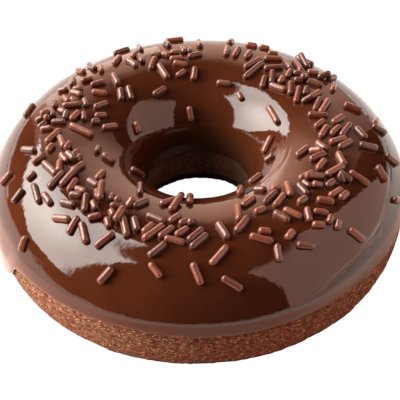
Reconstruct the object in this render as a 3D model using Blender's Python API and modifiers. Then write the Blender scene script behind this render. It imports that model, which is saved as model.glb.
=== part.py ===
"""A ring doughnut: dark chocolate cake, dipped in glossy chocolate icing and strewn with chocolate sprinkles.

Metres, +Z up. The doughnut stands on its flat base at z = 0, with the middle of its hole on the Z axis.
A place on the ring is given by two angles in degrees: the azimuth, anticlockwise round the hole from +X,
and the turn round the ring's own section: 0 at the widest place outside, 90 on the crown, 180 in the hole
and 270, or -90, on the base.
"""
import math
from collections import namedtuple

import bmesh
import bpy
from mathutils import Matrix, Vector

# The ring's section, over the icing
OUTER_RADIUS = 0.0450
CROWN_RADIUS = 0.0281
HOLE_RADIUS = 0.0117
HEIGHT = 0.0254
WIDEST_HEIGHT = 0.0102
NARROWEST_HEIGHT = 0.0126
BASE_OUTER_RADIUS = 0.0386
BASE_INNER_RADIUS = 0.0146
OUTER_POWER = 2.23
INNER_POWER = 2.13
FOOT_POWER = 2.4

# The icing's coat
ICING_THICKNESS = 0.0012
GAP = 0.0003
DOUGH_SHY = 0.0002
BEAD_HEIGHT = 0.00035
BEAD_TURN = 14.0
LIP_TURN = 1.2
OUTER_EDGE_TURN = 10.0
HOLE_EDGE_TURN = 186.0
TONGUE_FROM = 184.0
TONGUE_TO = 217.0
TONGUE_SLOPE_IN = 9.0
TONGUE_SLOPE_OUT = 12.0
TONGUE_DROP = 31.0
TONGUE_SWELL = 0.0004

# Unevenness: waves round the ring, each with its count, its size and its phase in degrees
GIRTH_WAVES = [(2, 0.0012, 30), (3, 0.0010, 200)]
HEIGHT_WAVES = [(1, 0.0040, 120), (2, 0.0050, 75), (3, 0.0040, 310)]
EDGE_WAVES = [(3, 0.5, 20), (5, 0.4, 110), (8, 0.35, 250), (13, 0.25, 70)]

# Facets of the solids
AROUND = 56
TONGUE_EXTRA = (206.0, 208.0, 212.0, 214.0, 218.0)
COAT_EDGE_STEPS = 3
COAT_CROWN_STEPS = 11
COAT_JOIN_TURN = 36.0
FOOT_STEPS = 4
CROWN_STEPS = 13

# Sprinkles
SPRINKLE_RADIUS = 0.00070
SPRINKLE_LEAST_LENGTH = 0.0022
SPRINKLE_SIDES = 6
SPRINKLE_FACET_RADIUS = 0.00075
SPRINKLE_TIP = 0.00030
SUNK = 0.5

# Where the sprinkles lie, in degrees: the azimuth and turn of one end of each, then those of its other end
SPRINKLES = [
    # Those on the front
    (-119.5, 96.5, -116, 108.5), (-109.5, 107, -103, 121), (-102, 91, -98, 99), (-110, 80.5, -107.5, 89),
    (-98.5, 82.5, -94, 89), (-93, 74, -87, 84.5), (-116, 89.5, -111.5, 81), (-120, 87.5, -114, 75),
    (-105.5, 65, -101, 77), (-104.5, 61, -100.5, 52), (-92, 64, -89.5, 48), (-87, 62, -81, 74.5),
    (-82.5, 92, -80, 79.5), (-84, 53, -79, 42.5), (-117, 38, -114.5, 52), (-77, 83.5, -70, 92),
    (-69.5, 103, -60.5, 108), (-66.5, 93.5, -60.5, 93.5), (-72.5, 79, -66, 69.5), (-65.5, 67.5, -67, 54.5),
    (-62, 68, -58, 71.5), (-60, 62, -55, 55), (-59.5, 89, -57, 78.5),
    # Those on the right front
    (-60, 98, -50, 102.5), (-48.5, 92, -42.5, 103.5), (-37, 98.5, -29.5, 93), (-49, 86, -44, 85.5),
    (-55.5, 88, -52.5, 76.5), (-47.5, 76, -44, 68), (-42.5, 81, -39, 71), (-35, 82, -30, 80),
    (-36.5, 70, -32, 68.5), (-51.5, 69, -48, 63.5), (-42.5, 51, -40.5, 36), (-28, 92, -20.5, 90.5),
    (-21, 111, -12.5, 103), (-14.5, 91, -9.5, 99), (-21, 79, -15, 85.5), (-27, 70, -25.5, 80.5),
    (-24.5, 58, -23.5, 75), (-18, 45, -14.5, 57), (-12, 85.5, -6.5, 77), (-8, 72.5, -6.5, 57),
    (-6, 96.5, 2, 91), (-3.5, 66, 1.5, 73.5), (-7, 49.5, -6.5, 33), (-56, 118, -52, 109),
    # Those on the right back
    (1.5, 99.5, 6, 91.5), (3.5, 88.5, 8, 79.5), (11.5, 93, 19.5, 83), (23.5, 92.5, 25.5, 83.5),
    (24, 104, 33, 92), (34.5, 101.5, 45, 105.5), (47, 111.5, 51, 99.5), (48, 84.5, 54.5, 94),
    (28.5, 78.5, 34.5, 85), (42, 91.5, 44.5, 83.5), (41, 80, 49, 70), (52, 76.5, 58.5, 84.5),
    (59.5, 84.5, 63.5, 98.5), (55.5, 71, 59.5, 75), (43, 60, 51, 60), (36.5, 69, 39.5, 76.5),
    (32.5, 67, 34, 55), (24.5, 75, 29, 67), (11.5, 61.5, 15, 75), (6.5, 55, 10.5, 48), (4, 43.5, 5, 58),
    (70, 67.5, 65.5, 66.5), (76, 61, 76.5, 71), (71.5, 77, 71.5, 90), (66, 79, 66, 89), (76, 78, 75.5, 90),
    (34, 122.5, 16, 125.5), (59, 124, 54, 128),
    # Those on the back
    (121, 60, 114.5, 60), (112, 74, 111, 60), (101, 61, 94, 60), (101.5, 67, 100.5, 77),
    (88.5, 70, 87.5, 81), (93.5, 92.5, 86.5, 89), (102.5, 92, 95.5, 93.5), (113.8, 99, 108, 87.5),
    (109, 95.5, 107, 113), (101.5, 112, 95.5, 107), (90, 104, 91.5, 118), (121, 124, 110, 121),
    (76, 119, 66, 118), (120.8, 72, 126, 80.5), (120.3, 81, 119, 92), (114.3, 80, 115, 90),
    (131, 88.5, 134.5, 100.5), (131, 106, 136, 119), (135.5, 104, 141.5, 114),
    # Those on the left back
    (164.5, 52, 157.5, 51), (137, 70, 136, 57), (133.5, 75, 131.5, 60), (130.5, 73.5, 133.5, 82),
    (143.3, 78, 139, 83), (142.5, 68.5, 147, 75.5), (151, 79, 151, 89), (143.8, 87, 137.5, 92),
    (147, 91, 144, 102), (149, 108, 157, 102), (153, 91, 157.5, 97), (154.5, 77, 157.5, 84.5),
    (157.8, 72.5, 162, 77.5), (162.3, 97, 167.8, 101), (171.3, 80.5, 171, 90), (172.5, 92, 178.5, 111),
    (180.3, 88.2, 188.5, 90.8), (192.3, 88.3, 198.5, 90.8), (194.5, 77, 204, 82), (190.7, 79, 193.3, 69.3),
    (183.7, 61.5, 187, 73.3), (175.5, 74, 175, 83), (163, 75, 167.5, 80), (162.5, 106, 158, 114),
    (170, 115.5, 162, 126), (194, 116.5, 202, 124.5),
    # Those on the left front
    (238, 60, 241, 75), (229, 71.5, 235, 60), (219.5, 61.5, 225, 68.5), (209, 68, 215, 67.5),
    (203, 66, 211.5, 62), (202, 57.5, 203.5, 44.5), (192, 52, 192.7, 38), (202, 100, 205, 89.5),
    (210.5, 90.5, 214.5, 82), (216, 80.5, 220, 85.5), (216.5, 73, 222, 78), (221, 94.5, 225.5, 90),
    (225, 87, 229.5, 83.5), (229.5, 75.5, 233, 82), (232, 90, 237, 94), (211, 110, 215.5, 100),
    (229, 128, 238, 112),
    # Those in and near the hole, and low on the sides
    (96, 141, 94.5, 156), (147, 135, 152.5, 146), (8, 134, -5, 146), (-16, 131, -18.5, 141),
    (216, 38.5, 216.5, 25), (-21, 33, -18, 24), (-58, 134, -65, 119), (-37, 133, -50, 134),
    (-102.5, 138, -101, 124), (-95.5, 134, -94.5, 114), (207, 137, 207, 154),
]

Sprinkle = namedtuple("Sprinkle", "centre along length")


def bow(value, power):
    """A cosine or sine raised to a superellipse's power, with its sign kept."""
    return math.copysign(abs(value) ** (2.0 / power), value)


def section(turn):
    """Radius and height of the ring's face, over the icing, at a turn round the section."""
    across = math.cos(math.radians(turn))
    up = math.sin(math.radians(turn))
    outside = across >= 0.0
    middle_height = WIDEST_HEIGHT if outside else NARROWEST_HEIGHT
    edge_radius = OUTER_RADIUS if outside else HOLE_RADIUS
    if up >= 0.0:
        middle_radius = CROWN_RADIUS
        power = OUTER_POWER if outside else INNER_POWER
        rise = HEIGHT - middle_height
    else:
        middle_radius = BASE_OUTER_RADIUS if outside else BASE_INNER_RADIUS
        power = FOOT_POWER
        rise = middle_height
    radius = middle_radius + abs(edge_radius - middle_radius) * bow(across, power)
    height = middle_height + rise * bow(up, power)
    return radius, height


def section_lifted(turn, lift):
    """The section's point moved out of the ring, square to the section, by a lift."""
    step = 0.5
    radius, height = section(turn)
    radius_before, height_before = section(turn - step)
    radius_after, height_after = section(turn + step)
    along_radius = radius_after - radius_before
    along_height = height_after - height_before
    length = math.hypot(along_radius, along_height)
    return radius + lift * along_height / length, height - lift * along_radius / length


def waves_at(azimuth, waves):
    """The sum of some waves round the ring at an azimuth."""
    return sum(size * math.cos(math.radians(count * azimuth - phase)) for count, size, phase in waves)


def ease(share):
    """A smooth step from 0 to 1."""
    share = min(1.0, max(0.0, share))
    return share * share * (3.0 - 2.0 * share)


def settled(radius, azimuth, height):
    """A point in space, with the doughnut's slight unevenness."""
    girth = 1.0 + waves_at(azimuth, GIRTH_WAVES)
    rise = 1.0 + waves_at(azimuth, HEIGHT_WAVES)
    angle = math.radians(azimuth)
    return Vector((girth * radius * math.cos(angle), girth * radius * math.sin(angle), rise * height))


def dough_depth(turn):
    """How far the dough lies under the ring's face: deep under the icing, and hardly at all below it."""
    across = math.cos(math.radians(turn))
    up = math.sin(math.radians(turn))
    return DOUGH_SHY * abs(across) + (ICING_THICKNESS + GAP) * max(0.0, up)


def tongue(azimuth):
    """1 where the icing ran down the side in a tongue, and 0 away from it."""
    azimuth = azimuth % 360.0
    return ease((azimuth - TONGUE_FROM) / TONGUE_SLOPE_IN) * ease((TONGUE_TO - azimuth) / TONGUE_SLOPE_OUT)


def outer_edge(azimuth):
    """The turn at which the icing ends on the outside."""
    return OUTER_EDGE_TURN + waves_at(azimuth, EDGE_WAVES) - TONGUE_DROP * tongue(azimuth)


def hole_edge(azimuth):
    """The turn at which the icing ends in the hole."""
    return HOLE_EDGE_TURN - 2.0 * waves_at(azimuth + 77.0, EDGE_WAVES)


def coat_lift(azimuth, turn):
    """How far the icing stands out over the section: a round bead along both edges, more on the tongue."""
    outer_bead = ease(1.0 - (turn - outer_edge(azimuth)) / BEAD_TURN)
    hole_bead = ease(1.0 - (hole_edge(azimuth) - turn) / BEAD_TURN)
    swell = TONGUE_SWELL * tongue(azimuth) * ease(1.0 - turn / BEAD_TURN)
    return BEAD_HEIGHT * (outer_bead + hole_bead) + swell


def coat_point(azimuth, turn):
    """A point of the icing's outer face."""
    radius, height = section_lifted(turn, coat_lift(azimuth, turn))
    return settled(radius, azimuth, height)


def coat_section(azimuth):
    """The icing's closed outline at an azimuth: out over its face, round the lip and back along the dough."""
    outer = outer_edge(azimuth)
    inner = hole_edge(azimuth)
    to_join = COAT_JOIN_TURN - outer
    past_join = inner - COAT_JOIN_TURN
    turns = [outer + to_join * step / COAT_EDGE_STEPS for step in range(COAT_EDGE_STEPS)]
    turns += [COAT_JOIN_TURN + past_join * step / COAT_CROWN_STEPS for step in range(COAT_CROWN_STEPS + 1)]
    outline = [coat_point(azimuth, turn) for turn in turns]
    outline.append(lip_point(azimuth, inner + LIP_TURN))
    for turn in reversed(turns):
        radius, height = section_lifted(turn, GAP - dough_depth(turn))
        outline.append(settled(radius, azimuth, height))
    outline.append(lip_point(azimuth, outer - LIP_TURN))
    return outline


def lip_point(azimuth, turn):
    """The rounded lip's furthest point, midway between the icing's two faces."""
    middle = 0.5 * (coat_lift(azimuth, turn) + GAP - dough_depth(turn))
    radius, height = section_lifted(turn, middle)
    return settled(radius, azimuth, height)


def lying_between(azimuth, turn, end_azimuth, end_turn):
    """A sprinkle that lies on the icing from one place to another, sunk a little into it."""
    step = 0.2
    middle_azimuth = 0.5 * (azimuth + end_azimuth)
    middle_turn = 0.5 * (turn + end_turn)
    point = coat_point(middle_azimuth, middle_turn)
    around = coat_point(middle_azimuth + step, middle_turn) - point
    over = coat_point(middle_azimuth, middle_turn + step) - point
    out = around.cross(over).normalized()
    way = coat_point(end_azimuth, end_turn) - coat_point(azimuth, turn)
    along = (way - out * way.dot(out)).normalized()
    return Sprinkle(point + out * SUNK * SPRINKLE_RADIUS, along, max(way.length, SPRINKLE_LEAST_LENGTH))


def plain_material(name, colour, roughness, coat=0.0):
    """A food's plain finish."""
    material = bpy.data.materials.new(name)
    material.use_nodes = True
    shader = material.node_tree.nodes["Principled BSDF"]
    shader.inputs["Base Color"].default_value = (*colour, 1.0)
    shader.inputs["Roughness"].default_value = roughness
    shader.inputs["Metallic"].default_value = 0.0
    shader.inputs["Coat Weight"].default_value = coat
    return material


def put_in(collection, name, mesh):
    """A new object of a mesh, in a collection."""
    piece = bpy.data.objects.new(name, mesh)
    collection.objects.link(piece)
    return piece


def apply_modifiers(piece):
    """Make the modifiers' result the piece's own mesh."""
    bpy.context.view_layer.update()
    graph = bpy.context.evaluated_depsgraph_get()
    mesh = bpy.data.meshes.new_from_object(piece.evaluated_get(graph))
    piece.modifiers.clear()
    piece.data = mesh


def make_cake(collection):
    """The dough: its section turned round the hole, then made a little uneven."""
    turns = [270.0 - 90.0 * step / FOOT_STEPS for step in range(FOOT_STEPS)]
    turns += [180.0 - 180.0 * step / CROWN_STEPS for step in range(CROWN_STEPS)]
    turns += [-90.0 * step / FOOT_STEPS for step in range(FOOT_STEPS + 1)]
    outline = [section_lifted(turn, -dough_depth(turn)) for turn in turns]
    outline[0] = section(turns[0])
    outline[-1] = section(turns[-1])
    mesh = bpy.data.meshes.new("cake")
    points = [(radius, 0.0, height) for radius, height in outline]
    edges = [(index, (index + 1) % len(points)) for index in range(len(points))]
    mesh.from_pydata(points, edges, [])
    cake = put_in(collection, "cake", mesh)
    screw = cake.modifiers.new("turned", "SCREW")
    screw.axis = "Z"
    screw.angle = 2.0 * math.pi
    screw.steps = AROUND
    screw.render_steps = AROUND
    screw.use_merge_vertices = True
    screw.merge_threshold = 0.00001
    apply_modifiers(cake)
    for vertex in cake.data.vertices:
        radius = math.hypot(vertex.co.x, vertex.co.y)
        azimuth = math.degrees(math.atan2(vertex.co.y, vertex.co.x))
        vertex.co = settled(radius, azimuth, vertex.co.z)
    cake.data.shade_smooth()
    cake.data.materials.append(plain_material("baked chocolate dough", (0.16, 0.066, 0.034), 0.85))
    return cake


def make_coat(collection):
    """The icing's coat: a loft through its outline at each azimuth, because its edge runs up and down."""
    shape = bmesh.new()
    azimuths = sorted([360.0 * index / AROUND for index in range(AROUND)] + list(TONGUE_EXTRA))
    rings = [[shape.verts.new(point) for point in coat_section(azimuth)] for azimuth in azimuths]
    for index, ring in enumerate(rings):
        following = rings[(index + 1) % len(rings)]
        for place in range(len(ring)):
            after = (place + 1) % len(ring)
            corners = (ring[place], following[place], following[after], ring[after])
            on_outer_face = place < len(ring) // 2
            split = 0 if on_outer_face else 1
            shape.faces.new((corners[0], corners[1], corners[2 + split]))
            shape.faces.new((corners[split], corners[2], corners[3]))
    mesh = bpy.data.meshes.new("icing")
    shape.to_mesh(mesh)
    shape.free()
    return put_in(collection, "icing", mesh)


def sprinkle_mesh(length):
    """One sprinkle along Z: a six-sided rod with pointed ends."""
    mesh = bpy.data.meshes.new("sprinkle")
    shape = bmesh.new()
    bmesh.ops.create_uvsphere(shape, u_segments=SPRINKLE_SIDES, v_segments=3, radius=1.0)
    for vertex in shape.verts:
        side = math.copysign(1.0, vertex.co.z)
        width = math.hypot(vertex.co.x, vertex.co.y)
        if width < 0.01:
            vertex.co = (0.0, 0.0, side * 0.5 * length)
        else:
            vertex.co.x *= SPRINKLE_FACET_RADIUS / width
            vertex.co.y *= SPRINKLE_FACET_RADIUS / width
            vertex.co.z = side * (0.5 * length - SPRINKLE_TIP)
    shape.to_mesh(mesh)
    shape.free()
    return mesh


def largest_shell_only(mesh):
    """Drop loose scraps and fill sealed hollows: both are shells apart from the largest."""
    shape = bmesh.new()
    shape.from_mesh(mesh)
    waiting = set(shape.verts)
    shells = []
    while waiting:
        found = [waiting.pop()]
        shell = list(found)
        while found:
            for edge in found.pop().link_edges:
                for vertex in edge.verts:
                    if vertex in waiting:
                        waiting.remove(vertex)
                        found.append(vertex)
                        shell.append(vertex)
        shells.append(shell)
    shells.sort(key=len)
    for shell in shells[:-1]:
        bmesh.ops.delete(shape, geom=shell, context="VERTS")
    shape.to_mesh(mesh)
    shape.free()


def fuse_sprinkles(coat):
    """Join the sprinkles to the icing in one union."""
    loose = bpy.data.collections.new("sprinkles to fuse")
    bpy.context.scene.collection.children.link(loose)
    for index, ends in enumerate(SPRINKLES):
        sprinkle = lying_between(*ends)
        rod = put_in(loose, f"sprinkle_{index:03d}", sprinkle_mesh(sprinkle.length))
        turned = sprinkle.along.to_track_quat("Z", "Y").to_matrix().to_4x4()
        rod.matrix_world = Matrix.Translation(sprinkle.centre) @ turned
    union = coat.modifiers.new("fused", "BOOLEAN")
    union.operation = "UNION"
    union.operand_type = "COLLECTION"
    union.collection = loose
    union.solver = "EXACT"
    apply_modifiers(coat)
    for rod in list(loose.objects):
        bpy.data.objects.remove(rod)
    bpy.data.collections.remove(loose)


def make_icing(collection):
    """The coat with its sprinkles, one solid."""
    icing = make_coat(collection)
    fuse_sprinkles(icing)
    largest_shell_only(icing.data)
    icing.data.shade_smooth()
    icing.data.set_sharp_from_angle(angle=math.radians(35.0))
    icing.data.materials.clear()
    icing.data.materials.append(plain_material("chocolate icing", (0.085, 0.030, 0.016), 0.12, coat=1.0))
    return icing


for old in list(bpy.data.objects):
    bpy.data.objects.remove(old)
doughnut = bpy.data.collections.new("doughnut")
bpy.context.scene.collection.children.link(doughnut)
make_cake(doughnut)
make_icing(doughnut)
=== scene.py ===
"""A chocolate ring doughnut: dark cake, a coat of glossy chocolate icing, and a scatter of sprinkles.

A place on the ring is given by two angles in degrees. The azimuth runs anticlockwise round the hole
from +X. The turn runs round the ring's own section: 0 is the widest place outside, 90 the crown, 180 the
wall of the hole, and 270, or -90, the base.
"""
import math
import random
from collections import namedtuple

import bpy
import numpy as np
from mathutils import Matrix, Vector, noise


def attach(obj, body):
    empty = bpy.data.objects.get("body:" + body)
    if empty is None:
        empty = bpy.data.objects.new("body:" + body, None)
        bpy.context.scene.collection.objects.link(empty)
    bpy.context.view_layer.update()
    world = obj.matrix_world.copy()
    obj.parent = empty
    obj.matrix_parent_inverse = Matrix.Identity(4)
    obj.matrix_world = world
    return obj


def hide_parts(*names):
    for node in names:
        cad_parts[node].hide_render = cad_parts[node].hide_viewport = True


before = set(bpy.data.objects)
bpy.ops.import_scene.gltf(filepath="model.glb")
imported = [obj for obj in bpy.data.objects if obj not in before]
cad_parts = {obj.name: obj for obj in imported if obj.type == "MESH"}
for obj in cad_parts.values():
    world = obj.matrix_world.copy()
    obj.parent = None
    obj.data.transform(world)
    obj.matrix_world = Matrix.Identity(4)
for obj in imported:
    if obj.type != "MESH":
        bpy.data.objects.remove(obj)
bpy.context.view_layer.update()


# The cake. One ring of dark chocolate dough, pressed out through a ring nozzle and baked, so that its base
# is flat and its sides are round. Below the icing it is bare: matt and open-grained, with pits and paler
# crumbs in it.
MM = 0.001
OUTER_RADIUS = 45.0 * MM
CROWN_RADIUS = 28.1 * MM
HOLE_RADIUS = 11.7 * MM
HEIGHT = 25.4 * MM
WIDEST_HEIGHT = 10.2 * MM
NARROWEST_HEIGHT = 12.6 * MM
BASE_OUTER_RADIUS = 38.6 * MM
BASE_INNER_RADIUS = 14.6 * MM
ICING_THICKNESS = 1.2 * MM
ICING_GAP = 0.3 * MM
DOUGH_SHY = 0.2 * MM

# How full the section is above and below its widest places: 2 would make it an ellipse
OUTER_POWER = 2.23
INNER_POWER = 2.13
FOOT_POWER = 2.4

# Waves round the ring, each with its count, its size as a share and its phase in degrees
GIRTH_WAVES = [(2, 0.0012, 30), (3, 0.0010, 200)]
HEIGHT_WAVES = [(1, 0.0040, 120), (2, 0.0050, 75), (3, 0.0040, 310)]

# The turns between which the icing hides the dough, and the rows of points on each stretch
SIDE_BARE_TO = 14.0
HOLE_BARE_FROM = 178.0
CAKE_COLUMNS = 720
CAKE_SIDE_ROWS = 50
CAKE_HIDDEN_ROWS = 10
CAKE_HOLE_ROWS = 32
CAKE_BASE_ROWS = 38

# The relief of the crumb. A pore's reach is its radius as a share of the spacing, and pores come in patches
LUMP_SIZE = 7.0 * MM
LUMP_HEIGHT = 0.16 * MM
CRUMB_SIZE = 0.9 * MM
CRUMB_HEIGHT = 0.09 * MM
PORE_SPACING = 1.25 * MM
PORE_DEPTH = 0.24 * MM
PORE_REACH = 0.42
PORE_PATCH_SIZE = 2.6 * MM
PORE_PATCH_CONTRAST = 1.6
FINE_PORE_SPACING = 0.62 * MM
FINE_PORE_DEPTH = 0.07 * MM

# The colours of the crumb. Painted shade makes it more even and darker in the hole, and darker in the
# pores.
# At the foot it darkens between two heights: partly a darker baked crust, partly painted contact shade. Its
# grain is drawn out along the side by the stretch, and its cast of colour varies from region to region
CRUMB_DARK = (0.039, 0.0130, 0.0062)
CRUMB_BROWN = (0.088, 0.0350, 0.0188)
CRUMB_PALE = (0.182, 0.090, 0.054)
CRUMB_SPECK = (0.52, 0.29, 0.17)
CRUMB_HOLE_SHADE = (0.050, 0.0210, 0.0120)
CRUMB_FOOT_CRUST_AND_SHADE = (0.012, 0.006, 0.004)
FOOT_FROM = 3.7 * MM
FOOT_TO = 2.5 * MM
HOLE_SHADE_SHARE = 0.7
HOLE_SHADE_SPAN = (172.0, 8.0, 268.0, 20.0)
PORE_SHADE = 0.85
FINE_PORE_SHADE = 0.5
SPECKS_FROM = 0.62
SPECKS_TO = 0.76
CRUMB_STRETCH = (0.65, 0.65, 1.4)
CRUMB_CASTS = [(0.40, (1.05, 0.90, 0.95)), (0.50, (1.0, 1.0, 1.0)), (0.62, (0.96, 1.08, 0.92))]


def bow(value, power):
    """A cosine or sine raised to a superellipse's power, with its sign kept."""
    return np.copysign(np.abs(value) ** (2.0 / power), value)


def section(turn):
    """Radius and height of the ring's face, over the icing, at a turn round the section."""
    across = np.cos(np.radians(turn))
    up = np.sin(np.radians(turn))
    outside = across >= 0.0
    above = up >= 0.0
    middle_height = np.where(outside, WIDEST_HEIGHT, NARROWEST_HEIGHT)
    edge_radius = np.where(outside, OUTER_RADIUS, HOLE_RADIUS)
    base_radius = np.where(outside, BASE_OUTER_RADIUS, BASE_INNER_RADIUS)
    middle_radius = np.where(above, CROWN_RADIUS, base_radius)
    power = np.where(above, np.where(outside, OUTER_POWER, INNER_POWER), FOOT_POWER)
    rise = np.where(above, HEIGHT - middle_height, middle_height)
    radius = middle_radius + np.abs(edge_radius - middle_radius) * bow(across, power)
    return radius, middle_height + rise * bow(up, power)


def section_lifted(turn, lift):
    """The section's point moved out of the ring, square to the section, by a lift."""
    step = 0.5
    radius, height = section(turn)
    radius_before, height_before = section(turn - step)
    radius_after, height_after = section(turn + step)
    along_radius = radius_after - radius_before
    along_height = height_after - height_before
    length = np.hypot(along_radius, along_height)
    return radius + lift * along_height / length, height - lift * along_radius / length


def waves_at(azimuth, waves):
    """The sum of some waves round the ring at an azimuth."""
    return sum(size * np.cos(np.radians(count * azimuth - phase)) for count, size, phase in waves)


def ease(share):
    """A smooth step from 0 to 1."""
    share = np.clip(share, 0.0, 1.0)
    return share * share * (3.0 - 2.0 * share)


def between(place, span):
    """1 inside a span and 0 outside it. A span is its start, the rise there, its end and the fall there."""
    start, rise, end, fall = span
    return ease((place - start) / rise) * ease((end - place) / fall)


def settled(radius, azimuth, height):
    """Points in space, with the doughnut's slight unevenness."""
    girth = radius * (1.0 + waves_at(azimuth, GIRTH_WAVES))
    rise = height * (1.0 + waves_at(azimuth, HEIGHT_WAVES))
    angle = np.radians(azimuth)
    return np.stack(np.broadcast_arrays(girth * np.cos(angle), girth * np.sin(angle), rise), axis=-1)


def dough_depth(turn):
    """How far the dough lies inside the ring's face: most on the crown, and nothing on the base."""
    across = np.cos(np.radians(turn))
    up = np.sin(np.radians(turn))
    return DOUGH_SHY * np.abs(across) + (ICING_THICKNESS + ICING_GAP) * np.maximum(0.0, up)


def closed_ring(name, points):
    """A smooth closed ring from a grid of points, one row round the section for each azimuth."""
    columns, rows = points.shape[:2]
    index = np.arange(columns * rows).reshape(columns, rows)
    onward = np.roll(index, -1, axis=0)
    after = np.roll(index, -1, axis=1)
    both = np.roll(onward, -1, axis=1)
    quads = np.stack([index, onward, both, after], axis=-1).reshape(-1, 4)
    mesh = bpy.data.meshes.new(name)
    mesh.from_pydata(points.reshape(-1, 3).tolist(), [], quads.tolist())
    mesh.shade_smooth()
    piece = bpy.data.objects.new(name, mesh)
    bpy.context.scene.collection.objects.link(piece)
    return piece


def outward(points):
    """The direction out of the surface at each point of a closed ring's grid."""
    around = np.roll(points, -1, axis=0) - np.roll(points, 1, axis=0)
    over = np.roll(points, -1, axis=1) - np.roll(points, 1, axis=1)
    out = np.cross(around, over)
    return out / np.maximum(np.linalg.norm(out, axis=-1, keepdims=True), 1e-12)


def grain(points, size, octaves, seed):
    """Smooth fractal noise over a grid of points, about -1 to 1, with features of a size."""
    fading = 0.9
    finer = 2.1
    flat = points.reshape(-1, 3) / size + seed
    values = [noise.fractal(Vector(place), fading, finer, octaves) for place in flat.tolist()]
    return np.array(values).reshape(points.shape[:-1])


def pits(points, spacing, seed):
    """How deep each point lies in a pore, 0 to 1, with pores about so far apart."""
    flat = points.reshape(-1, 3) / spacing + seed
    nearest = [noise.voronoi(Vector(place))[0][0] for place in flat.tolist()]
    return ease(1.0 - np.array(nearest).reshape(points.shape[:-1]) / PORE_REACH)


def keep_on_points(piece, name, values):
    """Store one number for each point of a mesh, for its material to read."""
    layer = piece.data.attributes.new(name, "FLOAT", "POINT")
    layer.data.foreach_set("value", np.ascontiguousarray(values, dtype=np.float32).ravel())


azimuths = np.arange(CAKE_COLUMNS)[:, None] * 360.0 / CAKE_COLUMNS
side_turns = np.linspace(-90.0, SIDE_BARE_TO, CAKE_SIDE_ROWS)
hidden_turns = np.linspace(SIDE_BARE_TO, HOLE_BARE_FROM, CAKE_HIDDEN_ROWS + 2)[1:-1]
hole_turns = np.linspace(HOLE_BARE_FROM, 270.0, CAKE_HOLE_ROWS)
turns = np.concatenate([side_turns, hidden_turns, hole_turns])
radii, heights = section_lifted(turns, -dough_depth(turns))
base_radii = np.linspace(BASE_INNER_RADIUS, BASE_OUTER_RADIUS, CAKE_BASE_ROWS + 2)[1:-1]
radii = np.concatenate([radii, base_radii])
heights = np.maximum(np.concatenate([heights, np.zeros(CAKE_BASE_ROWS)]), 0.0)
smooth_cake = settled(radii[None, :], azimuths, heights[None, :])

pore_patches = ease(0.5 + PORE_PATCH_CONTRAST * grain(smooth_cake, PORE_PATCH_SIZE, octaves=2, seed=31.0))
pore = pits(smooth_cake, PORE_SPACING, seed=0.0) * pore_patches
fine_pore = pits(smooth_cake, FINE_PORE_SPACING, seed=17.0)
crumb = grain(smooth_cake, CRUMB_SIZE, octaves=4, seed=5.0)
lump = grain(smooth_cake, LUMP_SIZE, octaves=2, seed=9.0)
relief = LUMP_HEIGHT * lump + CRUMB_HEIGHT * crumb - PORE_DEPTH * pore - FINE_PORE_DEPTH * fine_pore
bare = np.ones(len(radii))
bare[CAKE_SIDE_ROWS:CAKE_SIDE_ROWS + CAKE_HIDDEN_ROWS] = 0.0
cake_points = smooth_cake + outward(smooth_cake) * (relief * bare)[..., None]
cake_points[..., 2] = np.maximum(cake_points[..., 2], 0.0)
cake = closed_ring("cake_crumb", cake_points)
keep_on_points(cake, "pore", np.clip(pore + FINE_PORE_SHADE * fine_pore, 0.0, 1.0))
# Painted shade in the hole: between two turns, a share of the crumb's colour turns to a darker brown
shaded_rows = np.concatenate([HOLE_SHADE_SHARE * between(turns, HOLE_SHADE_SPAN), np.zeros(CAKE_BASE_ROWS)])
keep_on_points(cake, "hole_shade", np.broadcast_to(shaded_rows, smooth_cake.shape[:2]))


def new_material(name):
    """A node material with its Principled shader, and the two functions that add and join its nodes."""
    material = bpy.data.materials.new(name)
    material.use_nodes = True
    tree = material.node_tree

    def add(kind, **settings):
        node = tree.nodes.new(kind)
        for key, value in settings.items():
            if key in node.inputs:
                node.inputs[key].default_value = value
            else:
                setattr(node, key, value)
        return node

    def join(start, output, end, entry):
        tree.links.new(start.outputs[output], end.inputs[entry])

    return material, tree.nodes["Principled BSDF"], add, join


def ramp(add, *stops):
    """A colour ramp with its stops: place and colour."""
    node = add("ShaderNodeValToRGB")
    marks = node.color_ramp.elements
    while len(marks) < len(stops):
        marks.new(0.5)
    for mark, (place, colour) in zip(marks, stops):
        mark.position = place
        mark.color = (*colour, 1.0)
    return node


# The sockets of a mix node that is set to colours
MIX_SHARE = 0
MIX_UNDER = 6
MIX_OVER = 7
MIX_RESULT = 2


def laid_over(add, join, under, share, colour):
    """A plain colour laid over another by a share. Under, share and the result are each (node, output)."""
    node = add("ShaderNodeMix", data_type="RGBA", blend_type="MIX")
    join(*share, node, MIX_SHARE)
    join(*under, node, MIX_UNDER)
    node.inputs[MIX_OVER].default_value = (*colour, 1.0)
    return node, MIX_RESULT


crumb_finish, shader, add, join = new_material("baked chocolate crumb")
shader.inputs["Roughness"].default_value = 0.9
shader.inputs["Specular IOR Level"].default_value = 0.1
where = add("ShaderNodeTexCoord")
drawn_out = add("ShaderNodeVectorMath", operation="MULTIPLY")
join(where, "Object", drawn_out, 0)
drawn_out.inputs[1].default_value = CRUMB_STRETCH
patches = add("ShaderNodeTexNoise", Scale=1500.0, Detail=4.0, Roughness=0.7)
join(drawn_out, "Vector", patches, "Vector")
browns = ramp(add, (0.36, CRUMB_DARK), (0.50, CRUMB_BROWN), (0.68, CRUMB_PALE))
join(patches, "Fac", browns, "Fac")
regions = add("ShaderNodeTexNoise", Scale=330.0, Detail=3.0, Roughness=0.6)
join(where, "Object", regions, "Vector")
casts = ramp(add, *CRUMB_CASTS)
join(regions, "Fac", casts, "Fac")
uneven = add("ShaderNodeMix", data_type="RGBA", blend_type="MULTIPLY")
uneven.inputs[MIX_SHARE].default_value = 1.0
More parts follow.
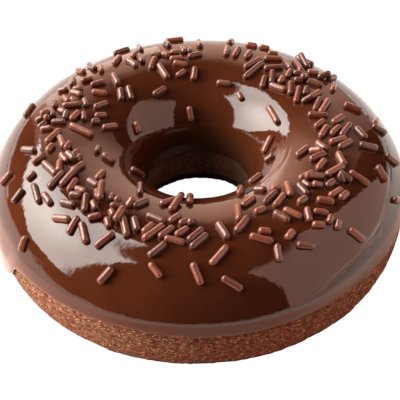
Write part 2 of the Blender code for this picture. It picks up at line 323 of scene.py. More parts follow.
join(browns, "Color", uneven, MIX_UNDER)
join(casts, "Color", uneven, MIX_OVER)
grains = add("ShaderNodeTexNoise", Scale=2900.0, Detail=1.0)
join(drawn_out, "Vector", grains, "Vector")
speck_share = add("ShaderNodeMapRange")
speck_share.inputs["From Min"].default_value = SPECKS_FROM
speck_share.inputs["From Max"].default_value = SPECKS_TO
join(grains, "Fac", speck_share, "Value")
speckled = laid_over(add, join, (uneven, MIX_RESULT), (speck_share, "Result"), CRUMB_SPECK)
# Painted shade in the pores: the crumb darkens towards its dark brown by their depth
pore_depth = add("ShaderNodeAttribute", attribute_name="pore")
pore_share = add("ShaderNodeMath", operation="MULTIPLY")
join(pore_depth, "Fac", pore_share, 0)
pore_share.inputs[1].default_value = PORE_SHADE
pore_shaded = laid_over(add, join, speckled, (pore_share, "Value"), CRUMB_DARK)
# Painted shade, laid over the crumb in the hole by the stored share
hole_shade = add("ShaderNodeAttribute", attribute_name="hole_shade")
shaded = laid_over(add, join, pore_shaded, (hole_shade, "Fac"), CRUMB_HOLE_SHADE)
# The foot darkens below a height: partly a darker baked crust, partly painted contact shade
levels = add("ShaderNodeSeparateXYZ")
join(where, "Object", levels, 0)
foot_shade_share = add("ShaderNodeMapRange")
foot_shade_share.inputs["From Min"].default_value = FOOT_FROM
foot_shade_share.inputs["From Max"].default_value = FOOT_TO
join(levels, "Z", foot_shade_share, "Value")
foot_darkened = laid_over(add, join, shaded, (foot_shade_share, "Result"), CRUMB_FOOT_CRUST_AND_SHADE)
join(*foot_darkened, shader, "Base Color")
fine = add("ShaderNodeTexNoise", Scale=2600.0, Detail=3.0, Roughness=0.6)
join(where, "Object", fine, "Vector")
rough_skin = add("ShaderNodeBump", Strength=0.5, Distance=0.15 * MM)
join(fine, "Fac", rough_skin, "Height")
join(rough_skin, "Normal", shader, "Normal")
cake.data.materials.append(crumb_finish)
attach(cake, "root")
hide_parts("cake")


# The icing. Melted chocolate that the ring was dipped into top down. It set as a glossy coat about a
# millimetre thick, with a round bead along both edges, one tongue that ran down the side, and a few lines
# where it flowed.
COAT_COLUMNS = 540
COAT_LOW_ROWS = 62
COAT_HIGH_ROWS = 98
COAT_LIP_ROWS = 7
COAT_BACK_ROWS = 8
COAT_JOIN_TURN = 50.0
OUTER_EDGE_TURN = 10.0
HOLE_EDGE_TURN = 186.0
BEAD_HEIGHT = 0.35 * MM
BEAD_TURN = 20.0
TONGUE_SPAN = (184.0, 9.0, 217.0, 12.0)
TONGUE_DROP = 31.0
TONGUE_SWELL = 0.4 * MM

# How far the icing's back lies inside the dough, so that no gap shows, and the section's rough radius
BACK_SUNK = 0.15 * MM
SECTION_RADIUS = 17.0 * MM

# The unevenness of the edges, in degrees of turn, and of the face, as the size and height of its swells
EDGE_WAVES = [(3, 0.5, 20), (5, 0.4, 110), (8, 0.35, 250), (13, 0.25, 70)]
RAGGED_WAVES = [(29, 0.28, 40), (47, 0.24, 300), (71, 0.20, 80)]
SWELL_SIZE = 15.0 * MM
SWELL_HEIGHT = 0.11 * MM
RIPPLE_SIZE = 4.5 * MM
RIPPLE_HEIGHT = 0.018 * MM

# The fine line where a thicker flow of icing stopped: azimuth and turn along it. The flow stands out by a
# step over a span above the line, the line itself is a groove, and both show over a span of azimuths
CREASE = [
    (-96, 17.5), (-85, 20.5), (-70, 21.0), (-60, 24.0), (-52, 28.5), (-44, 30.0),
    (-40, 31.0), (-37.5, 30.5), (-35, 28.0), (-34, 27.5), (-31.5, 29.0), (-30, 33.5),
    (-27, 36.0), (-20, 39.0), (-10, 42.0), (0, 47.0), (8, 52.0),
]
CREASE_SPAN = (-66.0, 18.0, 8.0, 14.0)
FLOW_SPAN = (-1.5, 3.0, 28.0, 26.0)
FLOW_STEP = 0.05 * MM
GROOVE_DEPTH = 0.08 * MM
GROOVE_WIDTH = 0.9

# The wrinkles on the hole's right wall: each one's turn at one azimuth, its slope, and its height
WRINKLES = [
    (120.4, -0.04, -0.085 * MM), (124.4, 0.0, -0.085 * MM),
    (122.3, -0.02, 0.050 * MM), (126.5, 0.13, 0.110 * MM),
]
WRINKLE_AZIMUTH = -45.0
WRINKLE_SPAN = (-52.0, 12.0, 6.0, 14.0)
WRINKLE_WIDTH = 0.85

# The icing's colours and shine. In the hole its colour turns to painted shade, and its shine is duller
ICING_DARK = (0.0285, 0.0065, 0.0021)
ICING_BROWN = (0.0345, 0.0079, 0.0026)
ICING_HOLE_SHADE = (0.026, 0.0078, 0.0036)
HOLE_SHADE_FROM = 156.0
HOLE_SHADE_RISE = 18.0
SHINE = 0.5
SHINE_IN_HOLE = 0.07
ROUGHNESS_LEAST = 0.03
ROUGHNESS_MOST = 0.06


def tongue(azimuth):
    """1 where the icing ran down the side in a tongue, and 0 away from it."""
    return between(azimuth % 360.0, TONGUE_SPAN)


def outer_edge(azimuth):
    """The turn at which the icing ends on the outside."""
    return OUTER_EDGE_TURN + waves_at(azimuth, EDGE_WAVES) - TONGUE_DROP * tongue(azimuth)


def hole_edge(azimuth):
    """The turn at which the icing ends in the hole, which is twice as uneven as the outer edge."""
    set_apart = 77.0
    return HOLE_EDGE_TURN - 2.0 * waves_at(azimuth + set_apart, EDGE_WAVES)


def coat_lift(azimuth, turn):
    """How far the icing stands out over the section: a round bead along both edges, more on the tongue."""
    outer_bead = ease(1.0 - (turn - outer_edge(azimuth)) / BEAD_TURN)
    hole_bead = ease(1.0 - (hole_edge(azimuth) - turn) / BEAD_TURN)
    swell = TONGUE_SWELL * tongue(azimuth) * ease(1.0 - turn / BEAD_TURN)
    return BEAD_HEIGHT * (outer_bead + hole_bead) + swell


def coat_point(azimuth, turn):
    """A point of the icing's plain outer face."""
    radius, height = section_lifted(turn, coat_lift(azimuth, turn))
    return settled(radius, azimuth, height)


def west(azimuth):
    """The azimuth counted from -180 to 180."""
    return (azimuth + 180.0) % 360.0 - 180.0


def flow_lines(azimuth, turn):
    """The relief of the icing's flow: the stopped flow with its fine groove, and wrinkles by the hole."""
    azimuth = west(azimuth)
    places, levels = zip(*CREASE)
    across = turn - np.interp(azimuth, places, levels)
    stopped_flow = FLOW_STEP * between(across, FLOW_SPAN)
    groove = GROOVE_DEPTH * np.exp(-(across / GROOVE_WIDTH) ** 2)
    relief = (stopped_flow - groove) * between(azimuth, CREASE_SPAN)
    for level, slope, height in WRINKLES:
        line = level + slope * (azimuth - WRINKLE_AZIMUTH)
        wrinkle = height * np.exp(-((turn - line) / WRINKLE_WIDTH) ** 2)
        relief = relief + wrinkle * between(azimuth, WRINKLE_SPAN)
    return relief


azimuths = np.arange(COAT_COLUMNS)[:, None] * 360.0 / COAT_COLUMNS
edge = outer_edge(azimuths) + waves_at(azimuths, RAGGED_WAVES)
far_edge = hole_edge(azimuths)
low_share = np.linspace(0.0, 1.0, COAT_LOW_ROWS, endpoint=False)[None, :]
high_share = np.linspace(0.0, 1.0, COAT_HIGH_ROWS)[None, :]
low_turns = edge + (COAT_JOIN_TURN - edge) * low_share
high_turns = COAT_JOIN_TURN + (far_edge - COAT_JOIN_TURN) * high_share
turns = np.concatenate([low_turns, high_turns], axis=1)
face = coat_point(azimuths, turns)
swells = SWELL_HEIGHT * grain(face, SWELL_SIZE, octaves=2, seed=3.0)
ripples = RIPPLE_HEIGHT * grain(face, RIPPLE_SIZE, octaves=2, seed=8.0)
lift = coat_lift(azimuths, turns) + flow_lines(azimuths, turns) + swells + ripples
radii, heights = section_lifted(turns, lift)
face = settled(radii, azimuths, heights)


def lip(edge_turn, edge_lift, side):
    """The rounded edge of the icing, from its outer face in to the dough, turning towards one side."""
    rounding = np.linspace(0.0, math.pi, COAT_LIP_ROWS + 2)[None, 1:-1]
    back_lift = -dough_depth(edge_turn) - BACK_SUNK
    middle = 0.5 * (edge_lift + back_lift)
    half = 0.5 * (edge_lift - back_lift)
    turn = edge_turn + side * np.degrees(half * np.sin(rounding) / SECTION_RADIUS)
    radius, height = section_lifted(turn, middle + half * np.cos(rounding))
    return settled(radius, azimuths, height)


hole_lip = lip(far_edge, lift[:, -1:], 1.0)
outer_lip = lip(edge, lift[:, :1], -1.0)[:, ::-1]
back_turns = far_edge + (edge - far_edge) * np.linspace(0.0, 1.0, COAT_BACK_ROWS)[None, :]
radii, heights = section_lifted(back_turns, -dough_depth(back_turns) - BACK_SUNK)
back = settled(radii, azimuths, heights)
coat = closed_ring("icing_coat", np.concatenate([face, hole_lip, back, outer_lip], axis=1))
# Painted shade in the hole: its share rises between two turns and is full on the hole's lip
shaded_face = ease((turns - HOLE_SHADE_FROM) / HOLE_SHADE_RISE)
shaded_lip = np.ones(hole_lip.shape[:2])
plain_rest = np.zeros((COAT_COLUMNS, COAT_BACK_ROWS + COAT_LIP_ROWS))
keep_on_points(coat, "hole_shade", np.concatenate([shaded_face, shaded_lip, plain_rest], axis=1))

glaze, shader, add, join = new_material("glossy chocolate icing")
shader.inputs["IOR"].default_value = 1.5
where = add("ShaderNodeTexCoord")
cloud = add("ShaderNodeTexNoise", Scale=120.0, Detail=3.0)
join(where, "Object", cloud, "Vector")
tones = ramp(add, (0.3, ICING_DARK), (0.7, ICING_BROWN))
join(cloud, "Fac", tones, "Fac")
# The painted shade in the hole turns the colour to a shaded brown and dulls the shine
hole_shade = add("ShaderNodeAttribute", attribute_name="hole_shade")
shaded = laid_over(add, join, (tones, "Color"), (hole_shade, "Fac"), ICING_HOLE_SHADE)
join(*shaded, shader, "Base Color")
shine = add("ShaderNodeMapRange")
shine.inputs["To Min"].default_value = SHINE
shine.inputs["To Max"].default_value = SHINE_IN_HOLE
join(hole_shade, "Fac", shine, "Value")
join(shine, "Result", shader, "Specular IOR Level")
gloss = add("ShaderNodeMapRange")
gloss.inputs["To Min"].default_value = ROUGHNESS_LEAST
gloss.inputs["To Max"].default_value = ROUGHNESS_MOST
join(cloud, "Fac", gloss, "Value")
join(gloss, "Result", shader, "Roughness")
dimples = add("ShaderNodeTexNoise", Scale=900.0, Detail=2.0)
join(where, "Object", dimples, "Vector")
skin = add("ShaderNodeBump", Strength=0.15, Distance=0.1 * MM)
join(dimples, "Fac", skin, "Height")
join(skin, "Normal", shader, "Normal")
coat.data.materials.append(glaze)
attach(coat, "root")
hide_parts("icing")


# The sprinkles. Strands of chocolate sugar paste, about 1.4 mm thick and broken to 3 to 5 mm. They were
# thrown on by hand while the icing was wet, so most lie in it on the crown, some over others, and a few
# rolled down.
SPRINKLE_RADIUS = 0.70 * MM
SPRINKLE_LEAST_LENGTH = 2.2 * MM

# How high one's middle lies over the icing, in radii, how near two come, as a share of two radii, and at
# how many places along it one is tried against those under it
STANDING = 0.5
CONTACT = 0.9
PROBES = 7

# The shape of a strand. Its bend and its thickness vary, and its ends round off over a length in radii to a
# blunt tip, with the rings of points crowded towards them
STRAND_SIDES = 14
STRAND_RINGS = 13
STRAND_BEND = 0.10 * MM
STRAND_THINNEST = 0.99
STRAND_THICKEST = 1.13
END_LENGTH = 0.85
END_POWER = 2.2
END_CROWDING = 0.75
TIP_SHARE = 0.1
SHAPING_SEED = 12
SUGAR_DARK = (0.048, 0.0105, 0.0045)
SUGAR_PALE = (0.108, 0.0275, 0.0125)

# Where they lie in the icing, in degrees: the azimuth and turn of one end, then those of the other end
SPRINKLES = [
    # Those on the front
    (-119.5, 96.5, -116, 108.5), (-109.5, 107, -103, 121), (-102, 91, -98, 99), (-110, 80.5, -107.5, 89),
    (-98.5, 82.5, -94, 89), (-93, 74, -87, 84.5), (-116, 89.5, -111.5, 81), (-120, 87.5, -114, 75),
    (-105.5, 65, -101, 77), (-104.5, 61, -100.5, 52), (-92, 64, -89.5, 48), (-87, 62, -81, 74.5),
    (-82.5, 92, -80, 79.5), (-84, 53, -79, 42.5), (-117, 38, -114.5, 52), (-77, 83.5, -70, 92),
    (-69.5, 103, -60.5, 108), (-66.5, 93.5, -60.5, 93.5), (-72.5, 79, -66, 69.5), (-65.5, 67.5, -67, 54.5),
    (-62, 68, -58, 71.5), (-60, 62, -55, 55), (-59.5, 89, -57, 78.5),
    # Those on the right front
    (-60, 98, -50, 102.5), (-48.5, 92, -42.5, 103.5), (-37, 98.5, -29.5, 93), (-49, 86, -44, 85.5),
    (-55.5, 88, -52.5, 76.5), (-47.5, 76, -44, 68), (-42.5, 81, -39, 71), (-35, 82, -30, 80),
    (-36.5, 70, -32, 68.5), (-51.5, 69, -48, 63.5), (-42.5, 51, -40.5, 36), (-28, 92, -20.5, 90.5),
    (-21, 111, -12.5, 103), (-14.5, 91, -9.5, 99), (-21, 79, -15, 85.5), (-27, 70, -25.5, 80.5),
    (-24.5, 58, -23.5, 75), (-18, 45, -14.5, 57), (-12, 85.5, -6.5, 77), (-8, 72.5, -6.5, 57),
    (-6, 96.5, 2, 91), (-3.5, 66, 1.5, 73.5), (-7, 49.5, -6.5, 33), (-56, 118, -52, 109),
    # Those on the right back
    (1.5, 99.5, 6, 91.5), (3.5, 88.5, 8, 79.5), (11.5, 93, 19.5, 83), (23.5, 92.5, 25.5, 83.5),
    (24, 104, 33, 92), (34.5, 101.5, 45, 105.5), (47, 111.5, 51, 99.5), (48, 84.5, 54.5, 94),
    (28.5, 78.5, 34.5, 85), (42, 91.5, 44.5, 83.5), (41, 80, 49, 70), (52, 76.5, 58.5, 84.5),
    (59.5, 84.5, 63.5, 98.5), (55.5, 71, 59.5, 75), (43, 60, 51, 60), (36.5, 69, 39.5, 76.5),
    (32.5, 67, 34, 55), (24.5, 75, 29, 67), (11.5, 61.5, 15, 75), (6.5, 55, 10.5, 48), (4, 43.5, 5, 58),
    (70, 67.5, 65.5, 66.5), (76, 61, 76.5, 71), (71.5, 77, 71.5, 90), (66, 79, 66, 89), (76, 78, 75.5, 90),
    (34, 122.5, 16, 125.5), (59, 124, 54, 128),
    # Those on the back
    (121, 60, 114.5, 60), (112, 74, 111, 60), (101, 61, 94, 60), (101.5, 67, 100.5, 77),
    (88.5, 70, 87.5, 81), (93.5, 92.5, 86.5, 89), (102.5, 92, 95.5, 93.5), (113.8, 99, 108, 87.5),
    (109, 95.5, 107, 113), (101.5, 112, 95.5, 107), (90, 104, 91.5, 118), (121, 124, 110, 121),
    (76, 119, 66, 118), (120.8, 72, 126, 80.5), (120.3, 81, 119, 92), (114.3, 80, 115, 90),
    (131, 88.5, 134.5, 100.5), (131, 106, 136, 119), (135.5, 104, 141.5, 114),
    # Those on the left back
    (164.5, 52, 157.5, 51), (137, 70, 136, 57), (133.5, 75, 131.5, 60), (130.5, 73.5, 133.5, 82),
    (143.3, 78, 139, 83), (142.5, 68.5, 147, 75.5), (151, 79, 151, 89), (143.8, 87, 137.5, 92),
    (147, 91, 144, 102), (149, 108, 157, 102), (153, 91, 157.5, 97), (154.5, 77, 157.5, 84.5),
    (157.8, 72.5, 162, 77.5), (162.3, 97, 167.8, 101), (171.3, 80.5, 171, 90), (172.5, 92, 178.5, 111),
    (180.3, 88.2, 188.5, 90.8), (192.3, 88.3, 198.5, 90.8), (194.5, 77, 204, 82), (190.7, 79, 193.3, 69.3),
    (183.7, 61.5, 187, 73.3), (175.5, 74, 175, 83), (163, 75, 167.5, 80), (162.5, 106, 158, 114),
    (170, 115.5, 162, 126), (194, 116.5, 202, 124.5),
    # Those on the left front
    (238, 60, 241, 75), (229, 71.5, 235, 60), (219.5, 61.5, 225, 68.5), (209, 68, 215, 67.5),
    (203, 66, 211.5, 62), (202, 57.5, 203.5, 44.5), (192, 52, 192.7, 38), (202, 100, 205, 89.5),
    (210.5, 90.5, 214.5, 82), (216, 80.5, 220, 85.5), (216.5, 73, 222, 78), (221, 94.5, 225.5, 90),
    (225, 87, 229.5, 83.5), (229.5, 75.5, 233, 82), (232, 90, 237, 94), (211, 110, 215.5, 100),
    (229, 128, 238, 112),
    # Those in and near the hole, and low on the sides
    (96, 141, 94.5, 156), (147, 135, 152.5, 146), (8, 134, -5, 146), (-16, 131, -18.5, 141),
    (216, 38.5, 216.5, 25), (-21, 33, -18, 24), (-58, 134, -65, 119), (-37, 133, -50, 134),
    (-102.5, 138, -101, 124), (-95.5, 134, -94.5, 114), (207, 137, 207, 154),
]

# Those that fell last, over or close beside others
HEAPED = [
    # Those on the front
    (-103, 102, -101, 119), (-112, 94, -103, 91), (-98, 90.5, -94, 94.5), (-94, 90, -91.5, 94),
    (-109, 76, -103.5, 89.5), (-104, 79.5, -99.5, 89), (-102, 80, -94.5, 77.5), (-94, 79, -88.5, 88.5),
    (-74, 90, -71, 105), (-69, 80.5, -65, 76.5),
    # Those on the right front
    (-57.5, 92, -49, 96.5), (-43, 86, -40.5, 96), (-38.5, 88, -37.5, 95), (-36, 95, -30, 86),
    (-38, 89, -34.5, 84), (-51.5, 71, -48, 80.5), (-38, 76.5, -32, 73), (-46.5, 63, -44, 66),
    (-46, 56, -43, 60.5), (-29.5, 86.5, -21, 79.5), (-23, 100, -16.5, 91), (-16, 103, -16, 93),
    (-29, 74, -27.5, 80), (-9.5, 91, -5.5, 81), (-4.5, 90, 1.5, 84), (-5, 84.5, 3.5, 76.5),
    (-51, 107, -46.5, 103),
    # Those on the right back
    (12, 101, 8.5, 88.5), (14, 95, 21.5, 86.5), (22.5, 100, 22, 90), (26.5, 94, 31, 88),
    (31, 102.5, 38.5, 93), (45, 103.5, 50.5, 92), (41.5, 99.5, 43.5, 92.5), (35.5, 86.5, 38.5, 90),
    (34.5, 89, 37.5, 79.5), (39, 80.5, 42.5, 85.5), (45, 83, 51, 76.5), (42, 70, 49.5, 61),
    (57, 88, 60, 109), (33, 64, 34.5, 75), (65, 65.5, 61, 63.5),
    # Those on the back
    (96, 81, 94.5, 88), (93, 82, 92, 88), (109.5, 83, 105.5, 87), (105, 86, 102, 89), (101.3, 86, 97, 87),
    (101.5, 97, 94, 102), (117.5, 80.5, 113.5, 75),
    # Those on the left back
    (149, 78.5, 147, 85), (151.5, 67.5, 149.3, 75), (155.5, 84, 156, 90), (160.8, 82, 157.3, 93),
    (169.3, 91.5, 163, 95), (176.5, 88.3, 184.3, 80.3), (185.7, 85, 189.8, 80.8), (186.3, 94.8, 191, 91),
    (192.3, 98.5, 195, 94.8), (195, 100, 199.5, 95.5), (194, 91, 200, 94.5), (196.5, 87.5, 203, 84),
    (174.3, 72, 170.8, 77.5), (169.8, 68.5, 168.5, 73), (167.5, 72, 166, 75.5), (163.3, 81, 164.5, 87),
    (164, 88, 169, 88), (167.8, 75.5, 172, 79), (168, 106, 165, 112), (188.3, 114.5, 192.5, 113),
    # Those on the left front
    (226.5, 73.5, 228, 59), (198, 70, 199.5, 62), (204, 87, 208.5, 73), (206, 94.5, 210.5, 80),
    (214.5, 86, 219.5, 89), (213, 95, 220, 98), (220.5, 100, 228.5, 88), (220.5, 88.5, 227, 78),
    (235, 82, 238.5, 76.5), (238.5, 92, 239.5, 81), (238, 94, 239, 102), (228.5, 98.5, 230.5, 93.5),
    (231.5, 98.5, 234.5, 93), (234, 88, 237, 85),
]

Sprinkle = namedtuple("Sprinkle", "centre along out length")


def lying_between(azimuth, turn, end_azimuth, end_turn):
    """A sprinkle that lies on the icing from one place to another, a quarter of its thickness sunk in."""
    step = 0.2
    middle_azimuth = 0.5 * (azimuth + end_azimuth)
    middle_turn = 0.5 * (turn + end_turn)
    point = Vector(coat_point(middle_azimuth, middle_turn))
    around = Vector(coat_point(middle_azimuth + step, middle_turn)) - point
    over = Vector(coat_point(middle_azimuth, middle_turn + step)) - point
    out = around.cross(over).normalized()
    way = Vector(coat_point(end_azimuth, end_turn) - coat_point(azimuth, turn))
    along = (way - out * way.dot(out)).normalized()
    centre = point + out * STANDING * SPRINKLE_RADIUS
    return Sprinkle(centre, along, out, max(way.length, SPRINKLE_LEAST_LENGTH))


def lift_over(probe, out, other):
    """How far a point must rise along out to clear a sprinkle that lies under it."""
    reach = CONTACT * 2.0 * SPRINKLE_RADIUS
    half = 0.5 * other.length - SPRINKLE_RADIUS
    flat_along = other.along - out * other.along.dot(out)
    to_probe = probe - other.centre
    flat_to_probe = to_probe - out * to_probe.dot(out)
    share = flat_to_probe.dot(flat_along) / max(flat_along.length_squared, 1e-6)
    nearest = other.centre + other.along * min(half, max(-half, share))
    aside = probe - nearest
    above = aside.dot(out)
    apart_squared = aside.length_squared - above * above
    if apart_squared >= reach * reach:
        return 0.0
    return max(0.0, math.sqrt(reach * reach - apart_squared) - above)


def rested(sprinkle, laid):
    """The sprinkle raised and tilted until it rests on those under it."""
    half = 0.5 * sprinkle.length - SPRINKLE_RADIUS
    near = [other for other in laid
            if (other.centre - sprinkle.centre).length < 0.5 * (other.length + sprinkle.length)]
    if not near:
        return sprinkle
    places = [half * (2.0 * step / (PROBES - 1) - 1.0) for step in range(PROBES)]
    lifts = []
    for place in places:
        probe = sprinkle.centre + sprinkle.along * place
        lifts.append(max(lift_over(probe, sprinkle.out, other) for other in near))
    middle = PROBES // 2
    lift = lifts[middle]
    slope = 0.0
    for low in range(middle):
        for high in range(middle + 1, PROBES):
            rise = (lifts[high] - lifts[low]) / (places[high] - places[low])
            at_middle = lifts[low] - rise * places[low]
            if at_middle > lift:
                lift, slope = at_middle, rise
    along = (sprinkle.along + sprinkle.out * slope).normalized()
    return sprinkle._replace(centre=sprinkle.centre + sprinkle.out * lift, along=along)


def strand(length, bend, twist, thickness):
    """One sprinkle's points and faces along Z: a round rod with blunt, rounded ends and a slight bend."""
    points = []
    faces = []
    half = 0.5 * length
    for ring in range(STRAND_RINGS):
        share = -math.cos(math.pi * ring / (STRAND_RINGS - 1))
        height = half * math.copysign(abs(share) ** END_CROWDING, share)
        from_end = min(1.0, (half - abs(height)) / (END_LENGTH * SPRINKLE_RADIUS))
        rounding = (1.0 - (1.0 - from_end) ** END_POWER) ** (1.0 / END_POWER)
        width = thickness * max(rounding, TIP_SHARE)
        sway = bend * (1.0 - (height / half) ** 2)
        for side in range(STRAND_SIDES):
            angle = 2.0 * math.pi * side / STRAND_SIDES + twist
            points.append((width * math.cos(angle) + sway, width * math.sin(angle), height))
    for ring in range(STRAND_RINGS - 1):
        for side in range(STRAND_SIDES):
            beside = (side + 1) % STRAND_SIDES
            low = ring * STRAND_SIDES
            high = low + STRAND_SIDES
            faces.append((low + side, low + beside, high + beside, high + side))
    faces.append(tuple(reversed(range(STRAND_SIDES))))
    faces.append(tuple(range((STRAND_RINGS - 1) * STRAND_SIDES, STRAND_RINGS * STRAND_SIDES)))
    return points, faces


laid = [lying_between(*ends) for ends in SPRINKLES]
for ends in HEAPED:
    laid.append(rested(lying_between(*ends), laid))

shaping = random.Random(SHAPING_SEED)
all_points = []
all_faces = []
tones_of_points = []
for sprinkle in laid:
    bend = shaping.uniform(-1.0, 1.0) * STRAND_BEND
    thickness = SPRINKLE_RADIUS * shaping.uniform(STRAND_THINNEST, STRAND_THICKEST)
    twist = shaping.uniform(0.0, 6.0)
    points, faces = strand(sprinkle.length, bend, twist, thickness)
    heading = sprinkle.along.to_track_quat("Z", "Y").to_matrix().to_4x4()
    place = Matrix.Translation(sprinkle.centre) @ heading
    start = len(all_points)
    all_points += [tuple(place @ Vector(point)) for point in points]
    all_faces += [tuple(start + corner for corner in face_corners) for face_corners in faces]
    tones_of_points += [shaping.random()] * len(points)
mesh = bpy.data.meshes.new("sprinkles")
mesh.from_pydata(all_points, [], all_faces)
mesh.shade_smooth()
sprinkles = bpy.data.objects.new("sprinkles", mesh)
bpy.context.scene.collection.objects.link(sprinkles)
keep_on_points(sprinkles, "tone", tones_of_points)

sugar, shader, add, join = new_material("chocolate sugar strands")
shader.inputs["Roughness"].default_value = 0.30
shader.inputs["Specular IOR Level"].default_value = 0.45
shader.inputs["Coat Weight"].default_value = 0.5
shader.inputs["Coat Roughness"].default_value = 0.16
tone = add("ShaderNodeAttribute", attribute_name="tone")
browns = ramp(add, (0.0, SUGAR_DARK), (1.0, SUGAR_PALE))
join(tone, "Fac", browns, "Fac")
join(browns, "Color", shader, "Base Color")
where = add("ShaderNodeTexCoord")
sugar_grain = add("ShaderNodeTexNoise", Scale=2200.0, Detail=3.0)
join(where, "Object", sugar_grain, "Vector")
grain_bump = add("ShaderNodeBump", Strength=0.8, Distance=0.1 * MM)
join(sugar_grain, "Fac", grain_bump, "Height")
join(grain_bump, "Normal", shader, "Normal")
sprinkles.data.materials.append(sugar)
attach(sprinkles, "root")
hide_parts("icing")


# The floor. A white table. The camera sees it as the pure white that the photograph shows, and the doughnut
# mirrors it as it was lit, warmer and darker on the viewer's side.
FLOOR_SIZE = 6.0
FLOOR_WHITE = 1.02

# The table's painted light and shade as the doughnut mirrors it: its colour by the share of a reach out
# from a place in front of it
TONES_FROM = (5.0 * MM, -100.0 * MM, 0.0)
TONES_REACH = 200.0 * MM
FLOOR_PAINTED_LIGHT = [
    (0.22, (0.52, 0.30, 0.23)), (0.31, (0.70, 0.40, 0.32)), (0.475, (0.84, 0.60, 0.53)),
    (0.60, (0.84, 0.68, 0.63)), (0.69, (0.50, 0.50, 0.49)),
]

bpy.ops.mesh.primitive_plane_add(size=FLOOR_SIZE, location=(0.0, 0.0, 0.0))
floor = bpy.context.object
floor.name = "floor"
white, shader, add, join = new_material("white table")
where = add("ShaderNodeNewGeometry")
from_front = add("ShaderNodeVectorMath", operation="DISTANCE")
join(where, "Position", from_front, 0)
from_front.inputs[1].default_value = TONES_FROM
far_share = add("ShaderNodeMapRange")
far_share.inputs["From Max"].default_value = TONES_REACH
join(from_front, "Value", far_share, "Value")
# Painted light and shade on the table: warm and dark near the doughnut's front, lighter further out,
# neutral grey far off
painted_floor = ramp(add, *FLOOR_PAINTED_LIGHT)
join(far_share, "Result", painted_floor, "Fac")
join(painted_floor, "Color", shader, "Base Color")
shader.inputs["Roughness"].default_value = 0.9
shader.inputs["Specular IOR Level"].default_value = 0.1
bright = add("ShaderNodeEmission", Color=(1.0, 1.0, 1.0, 1.0), Strength=FLOOR_WHITE)
sight = add("ShaderNodeLightPath")
seen = add("ShaderNodeMixShader")
join(sight, "Is Camera Ray", seen, "Fac")
join(shader, "BSDF", seen, 1)
join(bright, "Emission", seen, 2)
join(seen, "Shader", white.node_tree.nodes["Material Output"], "Surface")
floor.data.materials.append(white)


# The light. Upright panels, placed by their mirror images in the icing: a tall bright one on the left, a
# wide dim one on the right, two low ones behind, and two along the horizon. Broad daylight comes from low
# on the left, and the viewer's side is dark.
PANEL_FOOT = 0.03
HEART_REACH = 0.9
DAYLIGHT_STRENGTH = 12.0
DAYLIGHT_SPREAD = 30.0
DAYLIGHT_HEIGHT = 15.0
DAYLIGHT_AZIMUTH = 178.0
ROOM_STRENGTH = 0.03


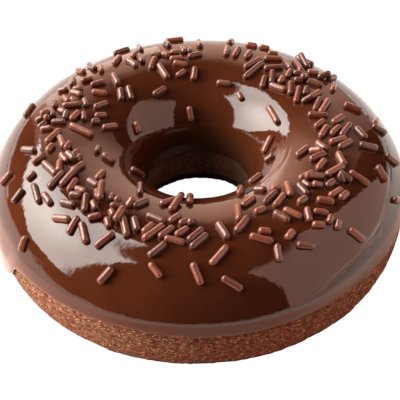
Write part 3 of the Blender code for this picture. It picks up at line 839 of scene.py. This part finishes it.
def panel(name, azimuth, distance, sides, heights, radiance, fade,
          bevel=(0.0, 0.0), heart=(0.0, 0.0, 1.0), soft=0.02):
    """An upright light that faces the ring, with its edges and places in units of its distance.

    It fades out upwards between two steepnesses, each a height over the distance along the table. The bevel
    raises its lower edge from a place towards its first side, by so much a unit. The heart is the side and
    the height of its brightest place, and the share of the light that is left away from there. The edge on
    its second side is soft over a width.
    """
    left, right = sides
    bottom, top = heights
    angle = math.radians(azimuth)
    away = Vector((math.cos(angle), math.sin(angle), 0.0))
    aside = Vector((-math.sin(angle), math.cos(angle), 0.0))
    lamp = bpy.data.lights.new(name, "AREA")
    lamp.shape = "RECTANGLE"
    lamp.size = (right - left) * distance
    lamp.size_y = (top - bottom) * distance
    lamp.color = radiance
    lamp.energy = lamp.size * lamp.size_y * math.pi
    lamp.use_nodes = True
    tree = lamp.node_tree

    def add(kind, **settings):
        node = tree.nodes.new(kind)
        for key, value in settings.items():
            setattr(node, key, value)
        return node

    def worked_out(operation, first, second):
        node = add("ShaderNodeMath", operation=operation)
        for entry, value in zip(node.inputs, (first, second)):
            if isinstance(value, float):
                entry.default_value = value
            else:
                tree.links.new(value, entry)
        return node.outputs[0]

    def eased(value, start, end):
        node = add("ShaderNodeMapRange", interpolation_type="SMOOTHSTEP")
        for entry, source in (("Value", value), ("From Min", start), ("From Max", end)):
            if isinstance(source, float):
                node.inputs[entry].default_value = source
            else:
                tree.links.new(source, node.inputs[entry])
        return node.outputs["Result"]

    where = add("ShaderNodeNewGeometry").outputs["Position"]
    height = add("ShaderNodeSeparateXYZ")
    tree.links.new(where, height.inputs[0])
    beside = add("ShaderNodeVectorMath", operation="DOT_PRODUCT")
    tree.links.new(where, beside.inputs[0])
    beside.inputs[1].default_value = aside
    place, slope = bevel
    short_of = worked_out("SUBTRACT", place * distance, beside.outputs["Value"])
    low = worked_out("MULTIPLY_ADD", worked_out("MAXIMUM", short_of, 0.0), slope)
    low.node.inputs[2].default_value = bottom * distance
    above = worked_out("ADD", low, PANEL_FOOT * distance)
    shine = eased(height.outputs["Z"], low, above)
    flat = add("ShaderNodeVectorMath", operation="MULTIPLY")
    tree.links.new(where, flat.inputs[0])
    flat.inputs[1].default_value = (1.0, 1.0, 0.0)
    reach = add("ShaderNodeVectorMath", operation="LENGTH")
    tree.links.new(flat.outputs[0], reach.inputs[0])
    steepness = worked_out("DIVIDE", height.outputs["Z"], reach.outputs["Value"])
    gone = eased(steepness, *fade)
    shine = worked_out("MULTIPLY", shine, worked_out("SUBTRACT", 1.0, gone))
    within = eased(beside.outputs["Value"], right * distance, (right - soft) * distance)
    shine = worked_out("MULTIPLY", shine, within)
    side, level, rest = heart
    from_heart = add("ShaderNodeVectorMath", operation="DISTANCE")
    tree.links.new(where, from_heart.inputs[0])
    from_heart.inputs[1].default_value = (away + aside * side + Vector((0.0, 0.0, level))) * distance
    dimmed = add("ShaderNodeMapRange", interpolation_type="SMOOTHSTEP")
    tree.links.new(from_heart.outputs["Value"], dimmed.inputs["Value"])
    dimmed.inputs["From Max"].default_value = HEART_REACH * distance
    dimmed.inputs["To Min"].default_value = 1.0
    dimmed.inputs["To Max"].default_value = rest
    shine = worked_out("MULTIPLY", shine, dimmed.outputs["Result"])
    tree.links.new(shine, tree.nodes["Emission"].inputs["Strength"])
    spot = bpy.data.objects.new(name, lamp)
    bpy.context.scene.collection.objects.link(spot)
    middle_height = Vector((0.0, 0.0, 0.5 * (bottom + top)))
    spot.location = (away + aside * 0.5 * (left + right) + middle_height) * distance
    spot.rotation_mode = "QUATERNION"
    spot.rotation_quaternion = away.to_track_quat("Z", "Y")


panel("left panel", azimuth=160.0, distance=0.8, sides=(-0.90, 1.02), heights=(0.25, 3.80),
      radiance=(14.4, 13.9, 13.0), fade=(2.3, 2.95), bevel=(0.27, 0.45), heart=(-0.03, 1.0, 0.6), soft=0.16)
panel("right panel", azimuth=350.0, distance=0.8, sides=(-0.86, 0.90), heights=(0.0, 2.60),
      radiance=(2.10, 1.31, 1.06), fade=(1.8, 2.5))
panel("back sweep", azimuth=87.0, distance=0.9, sides=(-0.70, 0.70), heights=(0.08, 1.25),
      radiance=(2.8, 1.65, 1.2), fade=(0.65, 1.1), heart=(0.12, 0.4, 0.25))
panel("back left sweep", azimuth=106.0, distance=0.9, sides=(-0.19, 0.19), heights=(0.08, 0.5),
      radiance=(2.2, 1.7, 1.5), fade=(0.3, 0.5))
panel("back horizon", azimuth=105.0, distance=1.2, sides=(-1.1, 1.1), heights=(0.0, 0.12),
      radiance=(2.6, 2.5, 2.4), fade=(0.04, 0.12))
panel("right horizon", azimuth=32.0, distance=1.2, sides=(-0.8, 0.45), heights=(0.0, 0.12),
      radiance=(1.6, 1.5, 1.4), fade=(0.04, 0.12))

# The daylight comes from too broad a sky for the icing to mirror it as a spot
daylight = bpy.data.lights.new("daylight", "SUN")
daylight.energy = DAYLIGHT_STRENGTH
daylight.angle = math.radians(DAYLIGHT_SPREAD)
side_light = bpy.data.objects.new("daylight", daylight)
bpy.context.scene.collection.objects.link(side_light)
side_light.visible_glossy = False
low = math.radians(DAYLIGHT_HEIGHT)
around = math.radians(DAYLIGHT_AZIMUTH)
towards = Vector((math.cos(low) * math.cos(around), math.cos(low) * math.sin(around), math.sin(low)))
side_light.rotation_mode = "QUATERNION"
side_light.rotation_quaternion = towards.to_track_quat("Z", "Y")

world = bpy.data.worlds.new("room")
bpy.context.scene.world = world
world.use_nodes = True
room = world.node_tree.nodes["Background"]
room.inputs["Color"].default_value = (1.0, 1.0, 1.0, 1.0)
room.inputs["Strength"].default_value = ROOM_STRENGTH
bpy.context.scene.view_settings.view_transform = "Standard"


# The camera. It stands as the photograph was taken: looking down by 43 degrees from close up, and tipped a
# little to one side. The lens and the sensor's width are in millimetres, as Blender takes them.
CAMERA_LENS = 89.58
CAMERA_SENSOR = 36.0
CAMERA_ELEVATION = 43.16
CAMERA_DISTANCE = 223.9 * MM
CAMERA_TARGET = Vector((0.38, 0.0, 5.98)) * MM
CAMERA_TIP = -1.4
lens = bpy.data.cameras.new("camera")
lens.sensor_width = CAMERA_SENSOR
lens.lens = CAMERA_LENS
lens.clip_start = 10.0 * MM
camera = bpy.data.objects.new("camera", lens)
bpy.context.scene.collection.objects.link(camera)
elevation = math.radians(CAMERA_ELEVATION)
back_way = Vector((0.0, -math.cos(elevation), math.sin(elevation)))
camera.location = CAMERA_TARGET + back_way * CAMERA_DISTANCE
tip = Matrix.Rotation(math.radians(CAMERA_TIP), 3, "Z").to_quaternion()
camera.rotation_mode = "QUATERNION"
camera.rotation_quaternion = back_way.to_track_quat("Z", "Y") @ tip
bpy.context.scene.camera = camera
